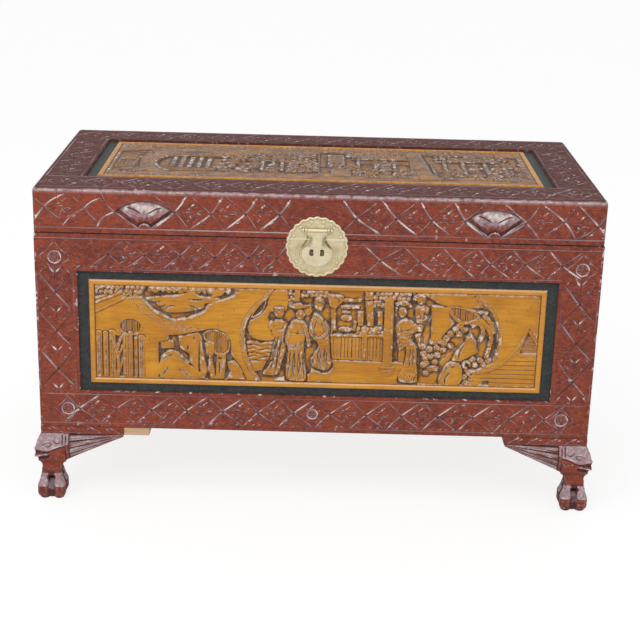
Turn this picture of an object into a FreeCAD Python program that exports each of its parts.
import FreeCAD, Part
import math
import os

V = FreeCAD.Vector

# Carved camphor-wood chest on four claw feet, in millimetres.
# X runs along the front, Y from the front to the back, Z up from the floor.
# The origin is on the floor, under the middle of the chest.

# Overall sizes
chest_length = 1030.0
chest_depth = 520.0
foot_height = 132.0
foot_plate_thickness = 15.0
body_height = 377.0
lid_gap = 0.5
lid_height = 83.5

# Boards and their joints
wall_thickness = 22.0
top_board_thickness = 20.0
groove_depth = 8.0
groove_width = 6.0
corner_tongue_thickness = 8.0
corner_tongue_length = 8.0
corner_tongue_setback = 7.0
body_corner_radius = 3.0
lid_corner_radius = 10.0
lid_edge_radius = 9.0
cut_overrun = 2.0

# Carved frames: the visible widths of their borders
stile_width = 77.0
top_rail_width = 71.0
bottom_rail_width = 73.0
lid_rail_width = 95.0
lid_stile_width = 80.0

# Black bands and carved panels, with depths taken from the face of the frame
band_width = 16.0
band_end_width = 20.0
band_depth = 6.0
band_thickness = 4.0
bead_width = 10.0
bead_depth = 1.5
bead_round = 3.4
field_depth = 6.5

# Bottom boards and the glue block beside the front left foot
bottom_thickness = 12.0
bottom_rabbet = 8.0
bottom_board_count = 2
glue_block_length = 47.0
glue_block_depth = 60.0
glue_block_setback = 1.5

# Back boards
back_tongue_height = 7.0
back_tongue_thickness = 7.0

# Fan-shaped hollows in the front of the lid, measured from their middle line and the lid's lower edge
fan_spacing = 630.0
fan_half_width = 52.5
fan_corner_height = 41.0
fan_top_height = 61.0
fan_foot_half_width = 11.0
fan_foot_height = 11.0
fan_arch_height = 19.5
fan_depth_top = 8.0
fan_depth_bottom = 4.0

# Round brass lock plate
lock_offset = -4.0
lock_radius = 56.5
lock_lobes = 24
lock_lobe_depth = 2.4
lock_drop = 14.0
lock_plate_thickness = 1.5
staple_hole_radius = 2.5
staple_hole_depth = 8.0
staple_hole_drop = 37.5

# Hasp tongue, its pin and its ears, measured down from the pin
pin_above_split = 17.5
pin_standoff = 5.5
pin_radius = 2.0
pin_running_clearance = 0.08
pin_ball_clearance = 0.2
pin_ball_bands = 3
knuckle_radius = 3.3
tongue_thickness = 2.0
tongue_top_half_width = 18.0
tongue_straight_drop = 9.0
tongue_neck_half_width = 12.8
tongue_neck_drop = 17.0
tongue_flare_half_width = 18.0
tongue_flare_drop = 29.0
tongue_wide_half_width = 27.5
tongue_shoulder_drop = 37.0
tongue_cheek_drop = 44.0
tongue_lobe_half_width = 20.0
tongue_lobe_drop = 57.5
tongue_lobe_bulge = 1.8
tongue_tip_half_width = 8.0
tongue_tip_drop = 65.0
tongue_drop = 67.5
slot_spacing = 18.6
slot_width = 8.6
slot_height = 13.5
slot_drop = 41.0
ear_thickness = 3.4
ear_radius = 5.4
ear_gap = 0.5
ear_neck_half_height = 3.4

# Butt hinges on the back
hinge_spacing = 620.0
hinge_length = 76.0
hinge_leaf_width = 21.0
hinge_leaf_thickness = 2.0
hinge_knuckles = 3
hinge_knuckle_radius = 3.8
hinge_knuckle_gap = 0.4
hinge_standoff = 4.2
hinge_pin_radius = 1.9
hinge_pin_head = 1.2

# Slotted stay that holds the lid open, on the right side of the chest.
# Its pivot and its stud lie at the same distance from the hinge line,
# so the arm always turns through half the angle of the lid.
stay_reach = 170.0
stay_stud_angle = 40.0
stay_pivot_angle = 10.8
stay_open_angle = 95.0
stay_arm_half_width = 7.0
stay_arm_thickness = 2.5
stay_arm_standoff = 5.0
stay_stud_radius = 3.0
stay_slot_clearance = 0.35
stay_slot_spare = 2.0
stay_side_clearance = 0.3
stay_head_radius = 6.5
stay_head_thickness = 2.4
stay_collar_radius = 8.0
stay_bracket_length = 46.0
stay_bracket_height = 20.0
stay_bracket_thickness = 2.0
stay_bracket_round = 5.0

# Claw feet. Plan places are measured from the corner of the body: reach inwards, swell outwards.
foot_plate_length = 157.0
foot_plate_width = 72.0
foot_inset = 17.0
claw_width = 52.0
toe_width = 21.0
toe_ankle_width = 14.0
toe_tip_height = 9.0
toe_knuckle_height = 27.0
toe_bend_height = 38.0
toe_ankle_height = 55.0
toe_edge = 4.5
ball_radius = 24.0
ball_height = 18.0
ball_sides = 16
ball_bands = 7
ankle_width = 39.0
ankle_height = 46.0
neck_width = 36.0
neck_height = 59.0
knee_curl_swell = 4.0
knee_curl_height = 76.0
knee_swell = 11.0
knee_height = 99.0
knee_reach = 46.0
knee_bow = 2.0
neck_bow = 2.5

# Fluted wings beside each foot
wing_tip_inset = 1.5
wing_root_height = 54.0
wing_tip_height = 4.0
wing_thickness = 24.0
wing_swell = 9.0
wing_flutes = 4
wing_flute_depth = 3.0
wing_flute_facets = 5

# Heights and planes that follow from these sizes
half_length = chest_length / 2
half_depth = chest_depth / 2
tenon_haunch = corner_tongue_setback + corner_tongue_thickness
body_bottom = foot_height + foot_plate_thickness
body_top = body_bottom + body_height
lid_bottom = body_top + lid_gap
lid_top = lid_bottom + lid_height
rim_top = lid_top - top_board_thickness
rim_height = lid_height - top_board_thickness
side_length = chest_depth - 2 * wall_thickness
side_stile_width = stile_width - wall_thickness
front_face = -half_depth
back_face = half_depth
hinge_y = back_face + hinge_standoff
hinge_z = body_top + lid_gap / 2
pin_y = front_face - pin_standoff
pin_z = lid_bottom + pin_above_split
pin_ball_radius = pin_standoff - lock_plate_thickness - pin_ball_clearance
lock_z = lid_bottom - lock_drop


def box(x0, x1, y0, y1, z0, z1):
    """A block between two opposite corners."""
    return Part.makeBox(x1 - x0, y1 - y0, z1 - z0, V(x0, y0, z0))


def fused(solids):
    """One solid from several that touch or overlap."""
    whole = solids[0]
    for solid in solids[1:]:
        whole = whole.fuse(solid)
    return whole.removeSplitter()


def turned(shape, origin, along, across, outward):
    """Moves a shape from a flat layout (along, across, outward) to its place on the chest."""
    matrix = FreeCAD.Matrix(
        along.x, across.x, outward.x, origin.x,
        along.y, across.y, outward.y, origin.y,
        along.z, across.z, outward.z, origin.z,
        0, 0, 0, 1,
    )
    placed = shape.copy()
    placed.Placement = FreeCAD.Placement(matrix)
    return placed


def prism(wire, depth):
    """A solid swept from a closed flat outline by a vector."""
    return Part.Face(wire).extrude(depth)


def bow(start, end, rise):
    """An arc from start to end that rises to the left of its chord."""
    chord = end - start
    middle = (start + end) / 2
    upright = V(-chord.z, 0, chord.x).normalize()
    return Part.Arc(start, middle + upright * rise, end).toShape()


def eased_square(width, edge, cx, cy, z):
    """The corners of a square with its own corners cut off, lying flat at height z."""
    half = width / 2
    near = half - edge
    corners = [
        (half, -near), (half, near), (near, half), (-near, half),
        (-half, near), (-half, -near), (-near, -half), (near, -half),
    ]
    return [V(cx + x, cy + y, z) for x, y in corners]


def flat_sided(rows):
    """A closed solid with flat sides through a row of outlines that have their edges parallel."""
    faces = [Part.Face(Part.makePolygon(row + row[:1])) for row in (rows[0], rows[-1])]
    for near, far in zip(rows, rows[1:]):
        for i in range(len(near)):
            j = (i + 1) % len(near)
            faces.append(Part.Face(Part.makePolygon([near[i], near[j], far[j], far[i], near[i]])))
    solid = Part.Solid(Part.Shell(faces))
    if solid.Volume < 0:
        solid.reverse()
    return solid


# Framed and carved faces. Layout: u along the face, v across it, w outwards, with w = 0 on the face.


def groove_span(setback, width):
    """The two depths between which a groove or tongue lies."""
    return -(setback + width), -setback


def frame_members(length, height, low_rail, high_rail, stile, thickness):
    """Two rails that run through, and two stiles between them with stub tenons in the rails' grooves."""
    end = length / 2
    inner = end - stile
    g0, g1 = groove_span(band_depth + band_thickness, groove_width)
    rails = {}
    for name, v0, v1, mouth in (
        ("low", 0, low_rail, low_rail),
        ("high", height - high_rail, height, height - high_rail),
    ):
        rail = box(-end, end, v0, v1, -thickness, 0)
        way = groove_depth if name == "low" else -groove_depth
        v_from, v_to = sorted((mouth, mouth - way))
        rail = rail.cut(box(-end + tenon_haunch, end - tenon_haunch, v_from, v_to, g0, g1))
        rails[name] = rail
    stiles = {}
    v0, v1 = low_rail, height - high_rail
    for name, side in (("left", -1), ("right", 1)):
        u0, u1 = sorted((side * inner, side * end))
        body = box(u0, u1, v0, v1, -thickness, 0)
        t0, t1 = sorted((side * (inner + groove_depth), side * (end - tenon_haunch)))
        body = body.fuse(box(t0, t1, v0 - groove_depth, v1 + groove_depth, g0, g1)).removeSplitter()
        c0, c1 = sorted((side * inner, side * (inner + groove_depth)))
        stiles[name] = body.cut(box(c0, c1, v0, v1, g0, g1))
    return rails, stiles


def rectangle(u_half, v0, v1, w):
    """The four corners of a rectangle, centred along the face."""
    return [V(-u_half, v0, w), V(u_half, v0, w), V(u_half, v1, w), V(-u_half, v1, w)]


def mitred(outer, inner, thickness):
    """Four blocks between two rectangles, mitred at the corners."""
    blocks = []
    for i in range(4):
        j = (i + 1) % 4
        wire = Part.makePolygon([outer[i], outer[j], inner[j], inner[i], outer[i]])
        blocks.append(prism(wire, V(0, 0, thickness)))
    return blocks


def band(u_half, v0, v1):
    """Four black strips that line the opening of a frame."""
    low = -(band_depth + band_thickness)
    outer = rectangle(u_half, v0, v1, low)
    inner = rectangle(u_half - band_end_width, v0 + band_width, v1 - band_width, low)
    return Part.makeCompound(mitred(outer, inner, band_thickness))


def bead(u_half, v0, v1):
    """Four half-round strips that frame the carved field inside the band."""
    u, low, high = u_half - band_end_width, v0 + band_width, v1 - band_width
    u_in, low_in, high_in = u - bead_width, low + bead_width, high - bead_width
    ring = box(-u, u, low, high, -field_depth, -bead_depth)
    ring = ring.cut(box(-u_in, u_in, low_in, high_in, -field_depth - cut_overrun, cut_overrun))
    crest = [e for e in ring.Edges if all(abs(v.Z + bead_depth) < bead_round / 2 for v in e.Vertexes)]
    ring = ring.makeFillet(bead_round, crest)
    outer = rectangle(u, low, high, -field_depth)
    inner = rectangle(u_in, low_in, high_in, -field_depth)
    blocks = mitred(outer, inner, field_depth - bead_depth)
    return Part.makeCompound([ring.common(block) for block in blocks])


def carved_panel(u_half, v0, v1):
    """A board held by its tongue and raised behind the bead, up to the ground of its carving."""
    g0, g1 = groove_span(band_depth + band_thickness, groove_width)
    board = box(-u_half - groove_depth, u_half + groove_depth, v0 - groove_depth, v1 + groove_depth, g0, g1)
    u = u_half - band_end_width
    raised = box(-u, u, v0 + band_width, v1 - band_width, g1, -field_depth)
    return board.fuse(raised).removeSplitter()


def framed_face(length, height, low_rail, high_rail, stile, thickness):
    """All seven pieces of one carved face, laid out flat."""
    rails, stiles = frame_members(length, height, low_rail, high_rail, stile, thickness)
    opening = length / 2 - stile
    v0, v1 = low_rail, height - high_rail
    return {
        "low": rails["low"],
        "high": rails["high"],
        "left": stiles["left"],
        "right": stiles["right"],
        "band": band(opening, v0, v1),
        "bead": bead(opening, v0, v1),
        "panel": carved_panel(opening, v0, v1),
    }


def body_envelope():
    """The outer form of the body, with its upright corners eased."""
    block = box(-half_length, half_length, front_face, back_face, body_bottom, body_top)
    upright = [e for e in block.Edges if abs(e.Vertexes[0].Z - e.Vertexes[1].Z) > body_height / 2]
    return block.makeFillet(body_corner_radius, upright)


def lid_envelope():
    """The outer form of the lid, round at its corners and along its top edge."""
    block = box(-half_length, half_length, front_face, back_face, lid_bottom, lid_top)
    upright = [e for e in block.Edges if abs(e.Vertexes[0].Z - e.Vertexes[1].Z) > lid_height / 2]
    block = block.makeFillet(lid_corner_radius, upright)
    crest = [e for e in block.Edges if all(abs(v.Z - lid_top) < lid_edge_radius / 2 for v in e.Vertexes)]
    return block.makeFillet(lid_edge_radius, crest)


def corner_grooves(z0, z1):
    """The upright grooves that front and back boards have for the tongues of the side boards."""
    outer = half_length - corner_tongue_setback
    inner = outer - corner_tongue_thickness
    inside = half_depth - wall_thickness
    grooves = []
    for side in (-1, 1):
        x0, x1 = sorted((side * inner, side * outer))
        for face in (-1, 1):
            y0, y1 = sorted((face * inside, face * (inside + corner_tongue_length)))
            grooves.append(box(x0, x1, y0, y1, z0, z1))
    return grooves


def cut_all(shape, tools):
    """Takes several tools out of a piece."""
    for tool in tools:
        shape = shape.cut(tool)
    return shape


def with_tongues(shape, v0, v1):
    """Adds the tongues at both ends of a side board, in its flat layout."""
    w0, w1 = -(corner_tongue_setback + corner_tongue_thickness), -corner_tongue_setback
    end = side_length / 2
    for side in (-1, 1):
        reach = box(*sorted((side * end, side * (end + corner_tongue_length))), v0, v1, w0, w1)
        piece = shape.BoundBox
        if (side < 0 and piece.XMin < -end + groove_depth) or (side > 0 and piece.XMax > end - groove_depth):
            shape = shape.fuse(reach)
    return shape.removeSplitter()


def bottom_rabbet_tool():
    """The step round the inside of the lowest boards that the bottom boards sit in."""
    x = half_length - wall_thickness + bottom_rabbet
    y = half_depth - wall_thickness + bottom_rabbet
    return box(-x, x, -y, y, body_bottom - cut_overrun, body_bottom + bottom_thickness)


def hinge_mortises(z0, z1):
    """The pockets that the hinge leaves are let into."""
    pockets = []
    for side in (-1, 1):
        middle = side * hinge_spacing / 2
        pockets.append(
            box(
                middle - hinge_length / 2, middle + hinge_length / 2,
                back_face - hinge_leaf_width, back_face + cut_overrun, z0, z1,
            )
        )
    return pockets


def staple_holes(y0, y1):
    """Two small round holes behind the slots of the hasp."""
    holes = []
    for side in (-1, 1):
        x = lock_offset + side * slot_spacing / 2
        centre = V(x, y0, pin_z - staple_hole_drop)
        holes.append(Part.makeCylinder(staple_hole_radius, y1 - y0, centre, V(0, 1, 0)))
    return holes


def body_boards():
    """The carved front and sides, the plain back and the bottom of the chest."""
    envelope = body_envelope()
    grooves = corner_grooves(body_bottom - cut_overrun, body_top + cut_overrun)
    rabbet = bottom_rabbet_tool()
    parts = {}

    flat = framed_face(
        chest_length, body_height, bottom_rail_width, top_rail_width, stile_width, wall_thickness
    )
    names = {
        "low": "front_bottom_rail", "high": "front_top_rail", "left": "front_left_stile",
        "right": "front_right_stile", "band": "front_band", "bead": "front_bead", "panel": "front_panel",
    }
    origin = V(0, front_face, body_bottom)
    for key, name in names.items():
        piece = turned(flat[key], origin, V(1, 0, 0), V(0, 0, 1), V(0, -1, 0))
        if key not in ("band", "bead", "panel"):
            piece = cut_all(piece.common(envelope), grooves)
        if key == "low":
            piece = piece.cut(rabbet)
        if key == "high":
            piece = cut_all(piece, staple_holes(front_face - cut_overrun, front_face + staple_hole_depth))
        parts[name] = piece

    flat = framed_face(
        side_length, body_height, bottom_rail_width, top_rail_width, side_stile_width, wall_thickness
    )
    spans = {
        "low": (0, bottom_rail_width),
        "high": (body_height - top_rail_width, body_height),
        "left": (bottom_rail_width, body_height - top_rail_width),
        "right": (bottom_rail_width, body_height - top_rail_width),
    }
    for side, along in (("left", V(0, -1, 0)), ("right", V(0, 1, 0))):
        sign = -1 if side == "left" else 1
        ends = ("rear", "front") if side == "left" else ("front", "rear")
        names = {
            "low": side + "_bottom_rail", "high": side + "_top_rail",
            "left": side + "_" + ends[0] + "_stile", "right": side + "_" + ends[1] + "_stile",
            "band": side + "_band", "bead": side + "_bead", "panel": side + "_panel",
        }
        for key, name in names.items():
            piece = flat[key]
            if key in spans:
                piece = with_tongues(piece, *spans[key])
            origin = V(sign * half_length, 0, body_bottom)
            piece = turned(piece, origin, along, V(0, 0, 1), V(sign, 0, 0))
            if key == "low":
                piece = piece.cut(rabbet)
            parts[name] = piece

    inside = back_face - wall_thickness
    seam = body_bottom + body_height / 2
    middle = inside + wall_thickness / 2
    tongue = box(
        -half_length + tenon_haunch, half_length - tenon_haunch,
        middle - back_tongue_thickness / 2, middle + back_tongue_thickness / 2,
        seam, seam + back_tongue_height,
    )
    lower = box(-half_length, half_length, inside, back_face, body_bottom, seam).common(envelope)
    upper = box(-half_length, half_length, inside, back_face, seam, body_top).common(envelope)
    upper = cut_all(upper.cut(tongue), grooves + hinge_mortises(body_top - hinge_leaf_thickness, lid_bottom))
    lower = cut_all(lower, grooves).fuse(tongue).removeSplitter().cut(rabbet)
    parts["back_lower_board"] = lower
    parts["back_upper_board"] = upper

    x = half_length - wall_thickness + bottom_rabbet
    y = half_depth - wall_thickness + bottom_rabbet
    width = 2 * y / bottom_board_count
    for index in range(bottom_board_count):
        name = "bottom_board_" + str(index + 1)
        start = -y + index * width
        parts[name] = box(-x, x, start, start + width, body_bottom, body_bottom + bottom_thickness)
    return parts


def fan_tool(centre):
    """A fan-shaped hollow: a wide arc above, two slanting sides, and a small arch at the foot."""
    def at(x, height):
        return V(centre + x, front_face, lid_bottom + height)

    left, right = at(-fan_half_width, fan_corner_height), at(fan_half_width, fan_corner_height)
    foot_left = at(-fan_foot_half_width, fan_foot_height)
    foot_right = at(fan_foot_half_width, fan_foot_height)
    edges = [
        Part.Arc(left, at(0, fan_top_height), right).toShape(),
        Part.makeLine(right, foot_right),
        Part.Arc(foot_right, at(0, fan_arch_height), foot_left).toShape(),
        Part.makeLine(foot_left, left),
    ]
    hollow = prism(Part.Wire(edges), V(0, fan_depth_top, 0))
    low, high = lid_bottom + fan_foot_height, lid_bottom + fan_top_height
    x = centre - fan_half_width - cut_overrun
    floor = Part.makePolygon(
        [
            V(x, front_face, low), V(x, front_face + fan_depth_bottom, low),
            V(x, front_face + fan_depth_top, high), V(x, front_face, high), V(x, front_face, low),
        ]
    )
    wedge = prism(floor, V(2 * (fan_half_width + cut_overrun), 0, 0))
    return hollow.common(wedge)


def lid_boards():
    """The four rim boards and the carved top frame of the lid."""
    envelope = lid_envelope()
    inside = half_depth - wall_thickness
    grooves = corner_grooves(lid_bottom - cut_overrun, rim_top)
    parts = {}
    front = box(-half_length, half_length, front_face, -inside, lid_bottom, rim_top).common(envelope)
    fans = [fan_tool(side * fan_spacing / 2) for side in (-1, 1)]
    parts["lid_front_rim"] = cut_all(front, grooves + fans)
    back = box(-half_length, half_length, inside, back_face, lid_bottom, rim_top).common(envelope)
    parts["lid_back_rim"] = cut_all(
        back, grooves + hinge_mortises(body_top, lid_bottom + hinge_leaf_thickness)
    )
    for side, sign in (("left", -1), ("right", 1)):
        flat = box(-side_length / 2, side_length / 2, 0, rim_height, -wall_thickness, 0)
        flat = with_tongues(flat, 0, rim_height)
        along = V(0, sign, 0)
        origin = V(sign * half_length, 0, lid_bottom)
        parts["lid_" + side + "_rim"] = turned(flat, origin, along, V(0, 0, 1), V(sign, 0, 0))

    flat = framed_face(
        chest_length, chest_depth, lid_rail_width, lid_rail_width, lid_stile_width, top_board_thickness
    )
    names = {
        "low": "lid_top_front_rail", "high": "lid_top_back_rail", "left": "lid_top_left_stile",
        "right": "lid_top_right_stile", "band": "lid_top_band", "bead": "lid_top_bead",
        "panel": "lid_top_panel",
    }
    origin = V(0, front_face, lid_top)
    for key, name in names.items():
        piece = turned(flat[key], origin, V(1, 0, 0), V(0, 1, 0), V(0, 0, 1))
        if key not in ("band", "bead", "panel"):
            piece = piece.common(envelope)
        parts[name] = piece
    return parts


def lock_disc():
    """The scalloped round plate, before it is split at the lid."""
    edges = []
    valley = lock_radius - lock_lobe_depth
    step = 2 * math.pi / lock_lobes

    def at(radius, angle):
        return V(lock_offset + radius * math.sin(angle), front_face, lock_z + radius * math.cos(angle))

    for lobe in range(lock_lobes):
        start, middle, end = (lobe - 0.5) * step, lobe * step, (lobe + 0.5) * step
        edges.append(Part.Arc(at(valley, start), at(lock_radius, middle), at(valley, end)).toShape())
    return prism(Part.Wire(edges), V(0, -lock_plate_thickness, 0))


def lock_plates():
    """The two halves of the lock plate: one on the lid and one on the body."""
    disc = lock_disc()
    reach = lock_radius + cut_overrun
    x0, x1 = lock_offset - reach, lock_offset + reach
    y0, y1 = front_face - lock_plate_thickness - cut_overrun, front_face + cut_overrun
    upper = disc.cut(box(x0, x1, y0, y1, lock_z - reach, lid_bottom))
    lower = disc.cut(box(x0, x1, y0, y1, body_top, lock_z + reach))
    lower = cut_all(lower, staple_holes(y0, y1))
    return {"upper_lock_plate": upper, "lower_lock_plate": lower}


def tongue_outline():
    """The hasp's outline, seen from the front: straight top, waist, wide cheeks and a lobed foot."""
    right = [
        ("line", [(tongue_top_half_width, 0), (tongue_top_half_width, tongue_straight_drop)]),
        ("arc", [
            (tongue_top_half_width, tongue_straight_drop),
            (tongue_neck_half_width, tongue_neck_drop),
            (tongue_flare_half_width, tongue_flare_drop),
        ]),
        ("line", [
            (tongue_flare_half_width, tongue_flare_drop),
            (tongue_wide_half_width, tongue_shoulder_drop),
        ]),
        ("line", [
            (tongue_wide_half_width, tongue_shoulder_drop),
            (tongue_wide_half_width, tongue_cheek_drop),
        ]),
    ]
    lobes = [
        (tongue_wide_half_width, tongue_cheek_drop),
        (tongue_lobe_half_width, tongue_lobe_drop),
        (tongue_tip_half_width, tongue_tip_drop),
    ]
    for (x0, d0), (x1, d1) in zip(lobes, lobes[1:]):
        length = math.hypot(x1 - x0, d1 - d0)
        out_x, out_d = (d1 - d0) / length, (x0 - x1) / length
        middle = ((x0 + x1) / 2 + out_x * tongue_lobe_bulge, (d0 + d1) / 2 + out_d * tongue_lobe_bulge)
        right.append(("arc", [(x0, d0), middle, (x1, d1)]))

    def at(point, side):
        return V(lock_offset + side * point[0], pin_y - tongue_thickness / 2, pin_z - point[1])

    edges = []
    for side in (1, -1):
        for kind, points in right:
            places = [at(p, side) for p in points]
            edges.append(Part.makeLine(*places) if kind == "line" else Part.Arc(*places).toShape())
    tip = (tongue_tip_half_width, tongue_tip_drop)
    edges.append(Part.Arc(at(tip, 1), at((0, tongue_drop), 1), at(tip, -1)).toShape())
    top = (tongue_top_half_width, 0)
    edges.append(Part.makeLine(at(top, 1), at(top, -1)))
    return Part.Wire(Part.sortEdges(edges)[0])


def slot_tool(side):
    """One upright slot of the hasp, with round ends."""
    x = lock_offset + side * slot_spacing / 2
    z = pin_z - slot_drop
    radius = slot_width / 2
    rise = slot_height / 2 - radius
    y0, y1 = pin_y - tongue_thickness / 2 - cut_overrun, pin_y + tongue_thickness / 2 + cut_overrun
    ends = [Part.makeCylinder(radius, y1 - y0, V(x, y0, z + way * rise), V(0, 1, 0)) for way in (-1, 1)]
    return fused([box(x - radius, x + radius, y0, y1, z - rise, z + rise)] + ends)


def hasp():
    """The hasp tongue, the pin it hangs on, and the two ears that hold the pin."""
    plate = prism(tongue_outline(), V(0, tongue_thickness, 0))
    start = V(lock_offset - tongue_top_half_width, pin_y, pin_z)
    knuckle = Part.makeCylinder(knuckle_radius, 2 * tongue_top_half_width, start, V(1, 0, 0))
    bore = Part.makeCylinder(
        pin_radius + pin_running_clearance, 2 * (tongue_top_half_width + cut_overrun),
        start - V(cut_overrun, 0, 0), V(1, 0, 0),
    )
    tongue = plate.fuse(knuckle).removeSplitter().cut(bore)
    tongue = cut_all(tongue, [slot_tool(side) for side in (-1, 1)])

    ears = []
    plate_face = front_face - lock_plate_thickness
    inner = tongue_top_half_width + ear_gap
    outer = inner + ear_thickness
    for side in (-1, 1):
        x0, x1 = sorted((lock_offset + side * inner, lock_offset + side * outer))
        eye = Part.makeCylinder(ear_radius, ear_thickness, V(x0, pin_y, pin_z), V(1, 0, 0))
        neck = box(x0, x1, pin_y, plate_face, pin_z - ear_neck_half_height, pin_z + ear_neck_half_height)
        behind = box(
            x0 - cut_overrun, x1 + cut_overrun, plate_face, front_face + ear_radius,
            pin_z - ear_radius - cut_overrun, pin_z + ear_radius + cut_overrun,
        )
        hole = Part.makeCylinder(
            pin_radius, ear_thickness + 2 * cut_overrun, V(x0 - cut_overrun, pin_y, pin_z), V(1, 0, 0)
        )
        ears.append(eye.fuse(neck).removeSplitter().cut(behind).cut(hole))
    return {
        "hasp_tongue": tongue,
        "hasp_pin": hasp_pin(outer),
        "hasp_ears": Part.makeCompound(ears),
    }


def hasp_pin(ears_end):
    """A straight pin with a knob at each end, turned in one piece with flat bands."""
    seat = math.acos(pin_radius / pin_ball_radius)
    centre = ears_end + pin_ball_radius * math.sin(seat)

    def at(along, radius):
        return V(lock_offset + along, pin_y, pin_z + radius)

    outline = []
    for side in (-1, 1):
        knob = []
        for band_index in range(pin_ball_bands + 1):
            turn = -seat + (math.pi / 2 + seat) * band_index / pin_ball_bands
            along = centre + pin_ball_radius * math.sin(turn)
            knob.append(at(side * along, pin_ball_radius * math.cos(turn)))
        outline += knob if side > 0 else knob[::-1]
    profile = Part.Face(Part.makePolygon(outline + outline[:1]))
    return profile.revolve(at(0, 0), V(1, 0, 0), 360)


def hinges():
    """Two butt hinges: leaves let into the body and the lid, round knuckles, and their pins."""
    body_leaves, lid_leaves, pins = [], [], []
    knuckle_length = hinge_length / hinge_knuckles
    for side in (-1, 1):
        start = side * hinge_spacing / 2 - hinge_length / 2
        axis = V(1, 0, 0)
        long_bore = Part.makeCylinder(
            hinge_pin_radius, hinge_length + 2 * cut_overrun, V(start - cut_overrun, hinge_y, hinge_z), axis
        )
        free_bore = Part.makeCylinder(
            hinge_pin_radius + pin_running_clearance, hinge_length + 2 * cut_overrun,
            V(start - cut_overrun, hinge_y, hinge_z), axis,
        )
        leaves = {
            0: [box(start, start + hinge_length, back_face - hinge_leaf_width, back_face,
                    body_top - hinge_leaf_thickness, body_top)],
            1: [box(start, start + hinge_length, back_face - hinge_leaf_width, back_face,
                    lid_bottom, lid_bottom + hinge_leaf_thickness)],
        }
        for index in range(hinge_knuckles):
            x0 = start + index * knuckle_length + (hinge_knuckle_gap / 2 if index else 0)
            last = index == hinge_knuckles - 1
            x1 = start + (index + 1) * knuckle_length - (0 if last else hinge_knuckle_gap / 2)
            barrel = Part.makeCylinder(hinge_knuckle_radius, x1 - x0, V(x0, hinge_y, hinge_z), axis)
            leaf_z = body_top - hinge_leaf_thickness if index % 2 == 0 else lid_bottom
            bridge = box(x0, x1, back_face - cut_overrun, hinge_y, leaf_z, leaf_z + hinge_leaf_thickness)
            leaves[index % 2] += [barrel, bridge]
        body_leaves.append(fused(leaves[0]).cut(long_bore))
        lid_leaves.append(fused(leaves[1]).cut(free_bore))
        shank = Part.makeCylinder(hinge_pin_radius, hinge_length, V(start, hinge_y, hinge_z), axis)
        heads = [
            Part.makeCylinder(hinge_knuckle_radius, hinge_pin_head, V(x, hinge_y, hinge_z), axis)
            for x in (start - hinge_pin_head, start + hinge_length)
        ]
        pins.append(fused([shank] + heads))
    return {
        "hinge_body_leaves": Part.makeCompound(body_leaves),
        "hinge_lid_leaves": Part.makeCompound(lid_leaves),
        "hinge_pins": Part.makeCompound(pins),
    }


def stay_point(angle):
    """A point (y, z) at the stay's reach from the hinge line; the angle is taken up from level, forwards."""
    a = math.radians(angle)
    return hinge_y - stay_reach * math.cos(a), hinge_z + stay_reach * math.sin(a)


def lid_stay():
    """A slotted brass arm that pivots on the lid and slides on a stud in the chest's right side."""
    wall = half_length - wall_thickness
    arm_x1 = wall - stay_arm_standoff
    arm_x0 = arm_x1 - stay_arm_thickness
    py, pz = stay_point(stay_pivot_angle)
    sy, sz = stay_point(-stay_stud_angle)
    closed = stay_pivot_angle + stay_stud_angle
    near = 2 * stay_reach * math.sin(math.radians(closed / 2))
    far = 2 * stay_reach * math.sin(math.radians((closed + stay_open_angle) / 2))
    hole = stay_stud_radius + stay_slot_clearance
    slot_from, slot_to = near - stay_slot_spare, far + stay_slot_clearance
    arm_end = slot_to + hole

    def strip(a0, a1, half, x0, x1):
        """A flat strip with round ends, laid out along +Z from the pivot."""
        solids = [box(x0, x1, -half, half, a0, a1)]
        solids += [Part.makeCylinder(half, x1 - x0, V(x0, 0, a), V(1, 0, 0)) for a in (a0, a1)]
        return fused(solids)

    arm = strip(0, arm_end, stay_arm_half_width, arm_x0, arm_x1)
    arm = arm.cut(strip(slot_from, slot_to, hole, arm_x0 - cut_overrun, arm_x1 + cut_overrun))
    eye = Part.makeCylinder(
        stay_stud_radius + pin_running_clearance, stay_arm_thickness + 2 * cut_overrun,
        V(arm_x0 - cut_overrun, 0, 0), V(1, 0, 0),
    )
    arm = arm.cut(eye)
    turn = math.degrees(math.atan2(-(sy - py), sz - pz))
    arm.rotate(V(0, 0, 0), V(1, 0, 0), turn)
    arm.translate(V(0, py, pz))

    def headed_stud(y, z, seat, collar):
        """A stud from its seat on the wood through the arm, with a collar and a head on either side of it."""
        back = arm_x1 + stay_side_clearance
        front = arm_x0 - stay_side_clearance
        shank = Part.makeCylinder(stay_stud_radius, seat - front, V(front, y, z), V(1, 0, 0))
        head = Part.makeCylinder(
            stay_head_radius, stay_head_thickness, V(front - stay_head_thickness, y, z), V(1, 0, 0)
        )
        ring = Part.makeCylinder(collar, seat - back, V(back, y, z), V(1, 0, 0))
        return [shank, head, ring]

    bracket = box(
        wall - stay_bracket_thickness, wall, py - stay_bracket_length / 2, py + stay_bracket_length / 2,
        pz - stay_bracket_height / 2, pz + stay_bracket_height / 2,
    )
    level = [e for e in bracket.Edges if abs(e.Vertexes[0].X - e.Vertexes[1].X) > stay_bracket_thickness / 2]
    bracket = bracket.makeFillet(stay_bracket_round, level)
    return {
        "stay_arm": arm,
        "stay_stud": fused(headed_stud(sy, sz, wall, stay_collar_radius)),
        "stay_bracket": fused([bracket] + headed_stud(py, pz, wall, stay_head_radius)),
    }


# Feet. One corner is built in its own layout: the corner of the body is at the origin,
# and the chest lies towards +X and +Y. It is then mirrored to the other three corners.


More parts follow.
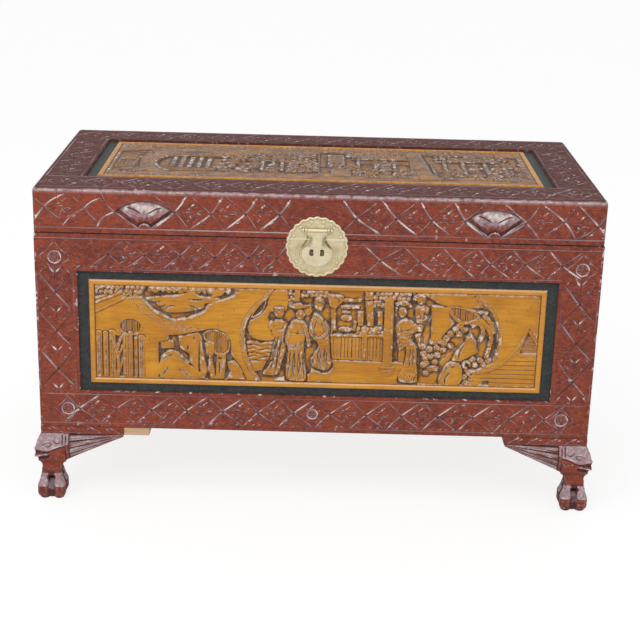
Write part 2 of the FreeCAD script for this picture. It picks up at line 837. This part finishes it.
def foot_plate():
    """An L-shaped plate under the corner of the body."""
    z0, z1 = foot_height, body_bottom
    return fused(
        [
            box(0, foot_plate_length, 0, foot_plate_width, z0, z1),
            box(0, foot_plate_width, 0, foot_plate_length, z0, z1),
        ]
    )


def toe(dx, dy):
    """One claw toe: it leaves the ankle, bends over the ball and stands on the floor."""
    spread = (claw_width - toe_width) / 2
    ankle_spread = (neck_width - toe_ankle_width) / 2
    steps = [
        (0, spread - toe_edge / 2, toe_width - toe_edge),
        (toe_tip_height, spread, toe_width),
        (toe_knuckle_height, spread, toe_width),
        (toe_bend_height, (spread + ankle_spread) / 2, (toe_width + toe_ankle_width) / 2),
        (toe_ankle_height, ankle_spread, toe_ankle_width),
    ]
    return flat_sided(
        [
            eased_square(width, toe_edge, foot_inset + dx * out, foot_inset + dy * out, z)
            for z, out, width in steps
        ]
    )


def ball():
    """The ball under the claw, carved with flat facets and cut off at the floor."""
    low = -math.asin(ball_height / ball_radius)
    rows = []
    for row in range(ball_bands + 1):
        turn = low + (math.pi / 2 - low) * row / (ball_bands + 0.5)
        radius = ball_radius * math.cos(turn)
        z = ball_height + ball_radius * math.sin(turn)
        turns = [2 * math.pi * side / ball_sides for side in range(ball_sides)]
        rows.append(
            [V(foot_inset + radius * math.cos(a), foot_inset + radius * math.sin(a), z) for a in turns]
        )
    return flat_sided(rows)


def knee_profile():
    """Knee and neck as sawn out of the block, seen from the front."""
    def at(reach, z):
        return V(reach, 0, z)

    neck_out, neck_in = foot_inset - neck_width / 2, foot_inset + neck_width / 2
    ankle_out, ankle_in = foot_inset - ankle_width / 2, foot_inset + ankle_width / 2
    top_out, top_in = at(0, foot_height), at(knee_reach, foot_height)
    knee = at(-knee_swell, knee_height)
    curl = at(-knee_curl_swell, knee_curl_height)
    curl_in = at(knee_reach, knee_curl_height)
    return Part.Wire(
        [
            Part.makeLine(top_in, top_out),
            bow(top_out, knee, -knee_bow),
            bow(knee, curl, -knee_bow),
            bow(curl, at(neck_out, neck_height), neck_bow),
            bow(at(neck_out, neck_height), at(ankle_out, ankle_height), neck_bow / 2),
            Part.makeLine(at(ankle_out, ankle_height), at(ankle_in, ankle_height)),
            bow(at(ankle_in, ankle_height), at(neck_in, neck_height), neck_bow / 2),
            bow(at(neck_in, neck_height), curl_in, neck_bow),
            Part.makeLine(curl_in, top_in),
        ]
    )


def leg():
    """Knee, neck and claw foot with its ball, carved from one block."""
    width = knee_reach + knee_swell + 2 * cut_overrun
    sawn_front = prism(knee_profile(), V(0, width, 0))
    sawn_front.translate(V(0, -knee_swell - cut_overrun, 0))
    sawn_side = sawn_front.mirror(V(0, 0, 0), V(1, -1, 0))
    toes = [toe(dx, dy) for dx in (-1, 1) for dy in (-1, 1)]
    return fused([sawn_front.common(sawn_side), ball()] + toes)


def wing():
    """A bracket from the knee along the front; its hollow flutes run together towards the tip."""
    length = foot_plate_length - wing_tip_inset - knee_reach
    tip_scale = wing_tip_height / wing_root_height
    apex = V(knee_reach + length / (1 - tip_scale), 0, foot_height)
    arrises = []
    for row in range(wing_flutes + 1):
        share = row / wing_flutes
        swell = wing_swell * math.sin(math.pi * share)
        arrises.append(V(knee_reach, -swell, foot_height - share * wing_root_height))

    front = []
    for upper, lower in zip(arrises, arrises[1:]):
        chord = lower - upper
        inward = V(0, -chord.z, chord.y).normalize()
        for facet in range(wing_flute_facets):
            share = facet / wing_flute_facets
            front.append(upper + chord * share + inward * (wing_flute_depth * math.sin(math.pi * share)))
    front.append(arrises[-1])

    def towards_apex(point, scale):
        return apex + (point - apex) * scale

    back = V(0, wing_thickness, 0)
    root = front + [arrises[-1] + back, arrises[0] + back]
    tip = [towards_apex(point, tip_scale) for point in front]
    tip += [tip[-1] + back, tip[0] + back]
    return flat_sided([root, tip])


def feet():
    """Four claw feet, each with its leg, its two wings and its plate."""
    plate, post, front_wing = foot_plate(), leg(), wing()
    side_wing = front_wing.mirror(V(0, 0, 0), V(1, -1, 0))
    parts = {}
    for end, y_sign in (("front", 1), ("rear", -1)):
        for side, x_sign in (("left", 1), ("right", -1)):
            corner = V(-x_sign * half_length, -y_sign * half_depth, 0)
            name = end + "_" + side
            for label, shapes in (
                ("_leg", [post]), ("_foot_plate", [plate]), ("_wings", [front_wing, side_wing])
            ):
                placed = []
                for shape in shapes:
                    if x_sign < 0:
                        shape = shape.mirror(V(0, 0, 0), V(1, 0, 0))
                    if y_sign < 0:
                        shape = shape.mirror(V(0, 0, 0), V(0, 1, 0))
                    shape = shape.copy()
                    shape.translate(corner)
                    placed.append(shape)
                parts[name + label] = placed[0] if len(placed) == 1 else Part.makeCompound(placed)
    return parts


def glue_block():
    """The bare block that shows beside the front left foot plate."""
    x = -half_length + foot_plate_length
    y = front_face + glue_block_setback
    return box(x, x + glue_block_length, y, y + glue_block_depth, foot_height, body_bottom)


def export(parts):
    """Writes one STEP file for each piece."""
    os.makedirs("parts", exist_ok=True)
    for name, shape in sorted(parts.items()):
        solids = shape.Solids
        good = all(solid.isValid() and solid.Volume > 0 for solid in solids)
        print(name, len(solids), "solids", round(shape.Volume), "mm3", "valid" if good else "NOT VALID")
        whole = solids[0] if len(solids) == 1 else Part.makeCompound(solids)
        whole.exportStep("parts/" + name + ".step")


def main():
    parts = {}
    parts.update(body_boards())
    parts.update(lid_boards())
    parts.update(lock_plates())
    parts.update(hasp())
    parts.update(hinges())
    parts.update(lid_stay())
    parts.update(feet())
    parts["front_left_glue_block"] = glue_block()
    print(len(parts), "pieces")
    export(parts)


main()
